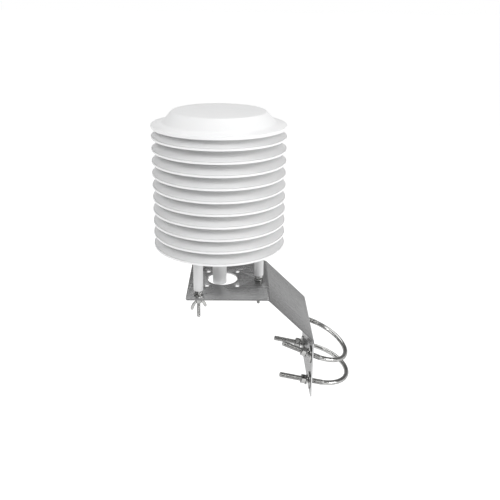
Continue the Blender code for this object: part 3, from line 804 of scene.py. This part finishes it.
def build_rod_stacks(plastic, zinc):
    """The three tie rods and all that each one holds, from its wing nut up to the nut in the cap."""
    washer_z = PLATE_UNDERSIDE_Z + SHEET + GAP
    nut_z = washer_z + TIE_WASHER_THICK + GAP
    standoff_z = nut_z + TIE_NUT_HEIGHT + GAP
    standoff_top = BASE_LIP_Z + LIP_HEIGHT / 2 + RING_RISE - SHELL - GAP
    cap_nut_z = BASE_LIP_Z + LOUVRE_PITCH * (LOUVRE_COUNT - 1) + LIP_HEIGHT / 2 + RING_RISE + GAP
    under_washer_z = PLATE_UNDERSIDE_Z - GAP - TIE_WASHER_THICK
    washer = washer_mesh("tie_washer", TIE_WASHER_RADIUS, ROD_BORE, TIE_WASHER_THICK,
                         TIE_WASHER_SOFT_EDGE, 2, 48)
    nut = hex_nut("tie_nut", TIE_NUT_FLATS, ROD_BORE, TIE_NUT_HEIGHT)
    cap_nut = hex_nut("cap_nut", TIE_NUT_FLATS, ROD_BORE, CAP_NUT_HEIGHT)
    length = standoff_top - standoff_z
    standoff = lathe("standoff", rounded(ring_outline(STANDOFF_RADIUS, ROD_BORE, 0, length),
                                         [0.0003, 0.0011, 0.0006, 0.0003], 3), 56)
    rod = rod_mesh()
    wing_nut = wing_nut_mesh()
    for number, (x, y) in enumerate(rod_places(), start=1):
        px, py = SHIELD_X + x, SHIELD_Y + y
        nut_degrees = TIE_NUT_FIRST_TURN + TIE_NUT_STEP_TURN * (number - 1)
        nut_turn = Matrix.Rotation(math.radians(nut_degrees), 4, "Z")
        wing_turn = Matrix.Rotation(WING_TURNS[number - 1], 4, "Z")
        stack = [
            ("rod_studding", rod, "tie_rod", "root", "bright_steel", zinc, at(px, py, ROD_TIPS[number - 1])),
            ("rod_standoff", standoff, "standoff", "root", "white_plastic", plastic, at(px, py, standoff_z)),
            ("rod_nut", nut, "tie_nut", "root", "bright_steel", zinc, at(px, py, nut_z) @ nut_turn),
            ("rod_cap_nut", cap_nut, "cap_nut", "root", "bright_steel", zinc, at(px, py, cap_nut_z)),
            ("rod_plate_washer", washer, "plate_washer", "root", "bright_steel", zinc, at(px, py, washer_z)),
            ("rod_under_washer", washer, "under_washer", f"under_washer_{number}", "bright_steel", zinc,
             at(px, py, under_washer_z)),
            ("rod_wing_nut", wing_nut, "wing_nut", f"wing_nut_{number}", "bright_steel", zinc,
             at(px, py, under_washer_z - GAP) @ wing_turn),
        ]
        for name, mesh, node, body, slot, material, place in stack:
            place_piece(f"{name}_{number}", mesh, f"{node}_{number}", body, material, place)


# ---------------------------------------------------------------- arm and U-bolts

def bent_strip(corners, bend_radius, thickness, steps):
    """Outline of a strip bent along a line of corners: one side out, and the other side back."""
    left, right = [], []
    for k, corner in enumerate(corners):
        into = (corner - corners[k - 1]).normalized() if k else (corners[1] - corner).normalized()
        out = (corners[k + 1] - corner).normalized() if k + 1 < len(corners) else into
        start = math.atan2(into.y, into.x)
        turn = math.atan2(into.x * out.y - into.y * out.x, into.dot(out))
        if abs(turn) < 1e-6:
            normal = Vector((-into.y, into.x))
            left.append(corner + normal * thickness / 2)
            right.append(corner - normal * thickness / 2)
            continue
        hand = math.copysign(1, turn)
        middle_radius = bend_radius + thickness / 2
        back = middle_radius * math.tan(abs(turn) / 2)
        centre = corner - into * back + Vector((-into.y, into.x)) * hand * middle_radius
        for step in range(steps + 1):
            heading = start + turn * step / steps
            away = Vector((math.sin(heading), -math.cos(heading))) * hand
            left.append(centre + away * (middle_radius - hand * thickness / 2))
            right.append(centre + away * (middle_radius + hand * thickness / 2))
    return left + right[::-1]


def leg_frame(bolt):
    """A U-bolt's own frame: its origin between its legs on the flange's face, X along the legs."""
    yaw = Matrix.Rotation(math.radians(bolt["yaw"]), 4, "Z")
    droop = Matrix.Rotation(math.radians(bolt["droop"]), 4, "Y")
    return at(0, 0, bolt["z"]) @ yaw @ droop


def leg_at_x(bolt, side, x):
    """Where the middle line of a U-bolt's leg crosses the plane at x, side being 1 or -1 along Y."""
    frame_of_leg = leg_frame(bolt)
    start = frame_of_leg @ Vector((0, side * LEG_HALF_SPACING, 0))
    along = frame_of_leg.to_3x3() @ Vector((1, 0, 0))
    return start + along * ((x - start.x) / along.x)


def corner_cutter(radius, centre, signs, low, high, lift):
    """What is left of a square outside its inscribed quarter circle, extruded, to round off a corner."""
    x, y = centre
    sx, sy = signs
    far_x, far_y = x + sx * (radius + CUTTER_REACH), y + sy * (radius + CUTTER_REACH)
    angles = [math.pi / 2 * k / CORNER_STEPS for k in range(CORNER_STEPS + 1)]
    arc = [(x + sx * radius * math.cos(a), y + sy * radius * math.sin(a)) for a in angles]
    return prism("corner", [(far_x, y)] + arc + [(x, far_y), (far_x, far_y)], low, high, lift)


def bracket_mesh():
    """Arm: a strip of sheet with two bends, its corners rounded and its holes cut."""
    half = ARM_WIDTH / 2
    middle_z = PLATE_UNDERSIDE_Z + SHEET / 2
    corners = [
        Vector((PLATE_END_X, middle_z)),
        Vector((FIRST_BEND_X, middle_z)),
        Vector((-SHEET / 2, SECOND_BEND_Z)),
        Vector((-SHEET / 2, FLANGE_END_Z)),
    ]
    outline = bent_strip(corners, BEND_RADIUS, SHEET, 14)
    mesh = prism("arm", outline, -half, half, lambda point, depth: (point[0], depth, point[1]))

    def drill(radius, sides=48):
        return lathe("drill", ring_outline(radius, 0, -CUTTER_HALF_DEPTH, CUTTER_HALF_DEPTH), sides)

    cuts = [(drill(PROBE_HOLE_RADIUS, 96), at(PROBE_HOLE_X, 0, middle_z))]
    spare = drill(SPARE_HOLE_RADIUS)
    for side_x in (-0.5, 0.5):
        for side_y in (-0.5, 0.5):
            x, y = PROBE_HOLE_X + side_x * SPARE_HOLE_SPACING_X, side_y * SPARE_HOLE_SPACING_Y
            cuts.append((spare, at(x, y, middle_z)))
    rod_hole = drill(ROD_HOLE_RADIUS)
    cuts += [(rod_hole, at(SHIELD_X + x, SHIELD_Y + y, middle_z)) for x, y in rod_places()]
    flange_hole = drill(FLANGE_HOLE_RADIUS)
    lying = Matrix.Rotation(math.radians(90), 4, "Y")
    for bolt in U_BOLTS:
        for side in (-1, 1):
            cuts.append((flange_hole, Matrix.Translation(leg_at_x(bolt, side, -SHEET / 2)) @ lying))
    radius = SHEET_CORNER_RADIUS
    depth = CORNER_CUTTER_HALF_DEPTH
    for sy in (-1, 1):
        plate_centre = (PLATE_END_X + radius, sy * (half - radius))
        cuts.append((corner_cutter(radius, plate_centre, (-1, sy), middle_z - depth, middle_z + depth,
                                   lambda point, z: (point[0], point[1], z)), None))
        flange_centre = (FLANGE_END_Z + radius, sy * (half - radius))
        cuts.append((corner_cutter(radius, flange_centre, (-1, sy), -SHEET - depth, depth,
                                   lambda point, x: (x, point[1], point[0])), None))
    mesh = combine(mesh, cuts, "DIFFERENCE", 30)
    return bevelled(mesh, SHEET_EDGE, 2, 45, 30)


def paint_side_shade(mesh, low_z):
    """Gives the cut sides of the arm above a height the mesh's second material: a darker copy of the sheet's
    look, painted shade on those faces.
    """
    builder = bmesh.new()
    builder.from_mesh(mesh)
    parts = builder.verts[:] + builder.edges[:] + builder.faces[:]
    bmesh.ops.bisect_plane(builder, geom=parts, dist=1e-7, plane_co=(0, 0, low_z), plane_no=(0, 0, 1))
    for face in builder.faces:
        middle = face.calc_center_bounds()
        on_side = abs(face.normal.y) > 0.9 and abs(middle.y) > ARM_WIDTH / 2 - CUT_EDGE_DEPTH
        if on_side and middle.z > low_z:
            face.material_index = 1
    builder.to_mesh(mesh)
    builder.free()


def u_bolt_mesh(name, straight, tail):
    """U-bolt in its own frame: legs along X, threaded ends that run a little way into the bow."""
    radius = LEG_HALF_SPACING
    leg_length = straight + tail
    total = 2 * leg_length + math.pi * radius
    threaded = tail + THREAD_PAST_FACE
    runout = BOLT_RUNOUT_PITCHES * BOLT_PITCH
    stations = [0.0, BOLT_END_LENGTH]
    while stations[-1] < threaded + runout:
        stations.append(stations[-1] + BOLT_PITCH / THREAD_STEPS)
    start = stations[-1]
    stations += [start + (total - 2 * start) * k / BOW_STEPS for k in range(1, BOW_STEPS)]
    stations += [total - s for s in stations[:stations.index(start) + 1][::-1]]

    def point(s):
        """Position and heading at a distance along the bolt. Its second half mirrors its first."""
        mirror = s > total / 2
        d = total - s if mirror else s
        if d <= leg_length:
            x, y, heading = -tail + d, radius, Vector((1, 0, 0))
        else:
            turn = (d - leg_length) / radius
            x, y = straight + radius * math.sin(turn), radius * math.cos(turn)
            heading = Vector((math.cos(turn), -math.sin(turn), 0))
        if mirror:
            return Vector((x, -y, 0)), Vector((-heading.x, heading.y, 0))
        return Vector((x, y, 0)), heading

    path = [point(s) for s in stations]

    def radius_at(step, angle):
        s = min(stations[step], total - stations[step])
        hand = 1 if stations[step] < total / 2 else -1
        if s == 0:
            return BOLT_MINOR - BOLT_END_CHAMFER
        lead_in = min(s / (BOLT_LEAD_IN_PITCHES * BOLT_PITCH), 1)
        fade = min(max((threaded + runout - s) / runout, 0), 1)
        wave = thread_wave(s / BOLT_PITCH - hand * angle / TAU)
        root = BOLT_MINOR - BOLT_LEAD_IN_DROP * (1 - lead_in)
        thread = root + (BOLT_MAJOR - BOLT_MINOR) * wave * lead_in
        return thread * fade + SHANK_RADIUS * (1 - fade)

    return threaded_tube(name, path, Vector((0, 0, 1)), 32, radius_at)


def build_arm(sheet, side_shade_look, zinc):
    """The arm and its two U-bolts, with their washers and nuts on the flange's side away from the mast."""
    arm = bracket_mesh()
    place_piece("arm_bracket", arm, "bracket", "root", sheet)
    # Second material: a darker copy of the sheet's look that paints shade on the arm's cut sides.
    arm.materials.append(side_shade_look)
    paint_side_shade(arm, SECOND_BEND_Z - BEND_RADIUS)
    big = washer_mesh("bolt_washer", BIG_WASHER_RADIUS, BIG_WASHER_BORE, BIG_WASHER_THICK,
                      BIG_WASHER_SOFT_EDGE, 3, 72)
    spring = spring_washer("spring_washer", SPRING_WASHER_RADIUS, BOLT_BORE, SPRING_WASHER_THICK)
    nut = hex_nut("bolt_nut", BOLT_NUT_FLATS, BOLT_BORE, BOLT_NUT_HEIGHT)
    facing_back = Matrix.Rotation(math.radians(-90), 4, "Y")
    for bolt in U_BOLTS:
        name = bolt["name"]
        own = leg_frame(bolt)
        mesh = u_bolt_mesh(f"bolt_{name}", bolt["straight"], bolt["tail"])
        place_piece(f"bolt_{name}", mesh, f"{name}_u_bolt", f"{name}_u_bolt", zinc, own)
        tilt = math.acos((own.to_3x3() @ Vector((1, 0, 0))).x)
        for side, label in ((-1, "front"), (1, "rear")):
            middle = leg_at_x(bolt, side, -SHEET - GAP)
            place_piece(f"bolt_{name}_{label}_big_washer", big, f"{name}_{label}_big_washer", "root",
                        zinc, Matrix.Translation(middle) @ facing_back)
            meets = own.inverted() @ leg_at_x(bolt, side, -SHEET - 2 * GAP - BIG_WASHER_THICK)
            spring_x = meets.x - SPRING_WASHER_RADIUS * math.tan(tilt) - GAP
            leg_y = side * LEG_HALF_SPACING
            place_piece(f"bolt_{name}_{label}_spring_washer", spring, f"{name}_{label}_spring_washer", "root",
                        zinc, own @ at(spring_x, leg_y, 0) @ facing_back)
            turn = Matrix.Rotation(math.radians(BOLT_NUT_MIDDLE_TURN + BOLT_NUT_SIDE_TURN * side), 4, "Z")
            nut_x = spring_x - SPRING_WASHER_THICK - GAP
            place_piece(f"bolt_{name}_{label}_nut", nut, f"{name}_{label}_nut", f"{name}_{label}_nut",
                        zinc, own @ at(nut_x, leg_y, 0) @ facing_back @ turn)


# ---------------------------------------------------------------- probe

def lock_nut_mesh(top):
    """Round lock nut that hangs from the height top, with grooves for grip along its side."""
    bottom = top - LOCK_NUT_HEIGHT
    bore = TUBE_RADIUS + GAP
    profile = [
        # (radius, z, 1 where the grooves are cut)
        (bore, bottom, 0),
        (LOCK_NUT_FOOT_RADIUS, bottom, 0),
        (LOCK_NUT_RADIUS, bottom + LOCK_NUT_CHAMFER, 1),
        (LOCK_NUT_RADIUS, top - LOCK_NUT_CHAMFER, 1),
        (LOCK_NUT_TOP_RADIUS, top, 0),
        (bore, top, 0),
    ]
    sides = ROUND_SIDES
    count = len(profile)
    verts, faces = [], []
    for k in range(sides):
        angle = TAU * k / sides
        depth = LOCK_NUT_GROOVE_DEPTH * (0.5 - 0.5 * math.cos(LOCK_NUT_GROOVES * angle))
        for outer, z, grooved in profile:
            radius = outer - grooved * depth
            verts.append((radius * math.cos(angle), radius * math.sin(angle), z))
        faces += skin(k * count, ((k + 1) % sides) * count, count)
    return mesh_from("probe_tube_nut", verts, faces, 35)


def build_probe(plastic, dark, rubber, bronze, board):
    """Holder tube, its lock nut, and the probe in two rubber bushes, on the shield's axis."""
    axis = at(SHIELD_X, SHIELD_Y, 0)
    base_top = BASE_LIP_Z + LIP_HEIGHT / 2 + RING_RISE
    flange_z = base_top + GAP
    flange_top = flange_z + TUBE_FLANGE_THICK
    tube_top = flange_top + TUBE_PAST_FLANGE

    def turned(name, corners, node, material, sides=64, steps=3):
        """Places a piece turned from ((radius, z), corner radius) pairs."""
        mesh = lathe(name, soft_outline(corners, steps), sides)
        place_piece(name, mesh, node, "root", material, axis)

    turned("probe_tube", [
        ((TUBE_BORE, TUBE_END_Z), 0.0006), ((TUBE_RADIUS, TUBE_END_Z), 0.0010),
        ((TUBE_RADIUS, flange_z), 0.0002), ((TUBE_FLANGE_RADIUS, flange_z), 0.0004),
        ((TUBE_FLANGE_RADIUS, flange_top), 0.0006), ((TUBE_RADIUS, flange_top), 0.0004),
        ((TUBE_RADIUS, tube_top), 0.0006), ((TUBE_BORE, tube_top), 0.0004)],
        "holder_tube", plastic, 96, 4)
    lock_top = base_top - SHELL - GAP
    lock_nut = lock_nut_mesh(lock_top)
    place_piece("probe_tube_nut", lock_nut, "tube_lock_nut", "root", dark, axis)
    probe_z = TUBE_END_Z + PROBE_SINK
    probe_top = probe_z + PROBE_LENGTH
    neck_top = probe_top + PROBE_NECK_LENGTH
    turned("probe_barrel", [
        ((0, probe_z), 0), ((PROBE_RADIUS, probe_z), 0.0005), ((PROBE_RADIUS, probe_top), 0.0004),
        ((PROBE_NECK_RADIUS, probe_top), 0.0002), ((PROBE_NECK_RADIUS, neck_top), 0.0004),
        ((0, neck_top), 0)],
        "probe_body", dark)
    gland_z = TUBE_END_Z + GLAND_SINK
    turned("probe_gland", [
        ((CABLE_HOLE_RADIUS, gland_z), 0.0003), ((GLAND_RADIUS, gland_z), 0.0006),
        ((PROBE_RADIUS, gland_z + GLAND_SLOPE), 0.0006), ((PROBE_RADIUS, probe_z - GAP), 0.0002),
        ((CABLE_HOLE_RADIUS, probe_z - GAP), 0)],
        "probe_cable_gland", rubber)
    inner = PROBE_RADIUS + GAP
    for name, node, bottom in (("probe_low_bush", "lower_probe_bush", probe_z + LOW_BUSH_RISE),
                               ("probe_high_bush", "upper_probe_bush", tube_top - BUSH_HEIGHT)):
        corners = [((inner, bottom), 0)]
        for step in range(BUSH_STEPS + 1):
            radius = TUBE_BORE - GAP - (BUSH_RIB_DEPTH if step % 2 else 0)
            corners.append(((radius, bottom + BUSH_HEIGHT * step / BUSH_STEPS), 0.0003))
        corners.append(((inner, bottom + BUSH_HEIGHT), 0))
        turned(name, corners, node, rubber, 64, 2)
    filter_z = probe_top + GAP
    filter_top = filter_z + FILTER_HEIGHT
    inner = PROBE_NECK_RADIUS + GAP
    turned("probe_filter", [
        ((inner, filter_z), 0), ((PROBE_RADIUS, filter_z), 0.0004),
        ((PROBE_RADIUS, filter_top), FILTER_ROUNDING), ((0, filter_top), 0),
        ((0, filter_top - FILTER_WALL), 0), ((inner, filter_top - FILTER_SHOULDER), 0.0010)],
        "filter_cap", bronze, 64, 5)
    width, thick = BOARD_HALF_WIDTH, BOARD_HALF_THICK
    outline = [(-width, -thick), (width, -thick), (width, thick), (-width, thick)]
    mesh = prism("probe_board", outline, neck_top + GAP, filter_top - BOARD_CLEARANCE,
                 lambda point, z: (*point, z))
    place_piece("probe_board", bevelled(mesh, BOARD_EDGE, 1), "sensor_board", "root", board,
                axis)


# ---------------------------------------------------------------- studio

def add_area(name, place, size, power):
    """White rectangular light aimed at the object's middle."""
    light = bpy.data.lights.new(name, "AREA")
    light.shape = "RECTANGLE"
    light.size, light.size_y = size
    light.energy = power
    item = bpy.data.objects.new(name, light)
    bpy.context.scene.collection.objects.link(item)
    ahead = (Vector(LIGHTS_AIM) - Vector(place)).normalized()
    item.matrix_world = Matrix.Translation(place) @ ahead.to_track_quat("-Z", "Y").to_matrix().to_4x4()


def add_world():
    """Soft studio surroundings: white at the horizon, then mid-grey, darker, and lighter overhead."""
    world = bpy.data.worlds.new("studio")
    world.use_nodes = True
    nodes, links = world.node_tree.nodes, world.node_tree.links
    where = nodes.new("ShaderNodeTexCoord")
    split = nodes.new("ShaderNodeSeparateXYZ")
    ramp = nodes.new("ShaderNodeValToRGB")
    links.new(where.outputs["Generated"], split.inputs["Vector"])
    links.new(split.outputs["Z"], ramp.inputs["Fac"])
    links.new(ramp.outputs["Color"], nodes["Background"].inputs["Color"])
    stops = ramp.color_ramp.elements
    stops[0].position, stops[0].color = HORIZON_HEIGHT, (1, 1, 1, 1)
    stops[1].position, stops[1].color = 1.0, (SKY_TOP, SKY_TOP, SKY_TOP, 1)
    stops.new(SKY_LOW_HEIGHT).color = (SKY_LOW, SKY_LOW, SKY_LOW, 1)
    stops.new(SKY_MIDDLE_HEIGHT).color = (SKY_MIDDLE, SKY_MIDDLE, SKY_MIDDLE, 1)
    bpy.context.scene.world = world


def add_studio():
    add_world()
    disc = lathe("floor", ring_outline(FLOOR_RADIUS, 0, -FLOOR_THICK, 0), 64)
    floor = loose("floor", disc, at(0, 0, FLOOR_Z))
    floor.data.materials.append(floor_material())
    for name, place, size, power in LIGHTS:
        add_area(name, place, size, power)
    bpy.context.scene.view_settings.view_transform = "Standard"


def build():
    plastic = plastic_material("white_plastic_look", (0.745, 0.748, 0.752), (0.772, 0.772, 0.772))
    pipe_plastic = plastic_material("white_pipe_look", (0.585, 0.588, 0.592), (0.615, 0.615, 0.615))
    sheet = sheet_material("stainless_sheet_look", (0.48, 0.48, 0.485), (0.66, 0.66, 0.658))
    # Painted shade: a darker copy of the sheet's look for the arm's cut sides above a height near the
    # flange's bend.
    side_shade_look = sheet_material("stainless_painted_side_shade_look", (0.15, 0.15, 0.152), (0.24, 0.24, 0.24))
    zinc = plated_material("bright_steel_look", (0.34, 0.34, 0.335), (0.52, 0.52, 0.51), 0.10, 0.19)
    add_camera()
    build_shield(plastic)
    build_rod_stacks(pipe_plastic, zinc)
    build_arm(sheet, side_shade_look, zinc)
    build_probe(pipe_plastic, dark_material(), rubber_material(), bronze_material(), board_material())
    add_studio()


build()
bpy.context.view_layer.update()
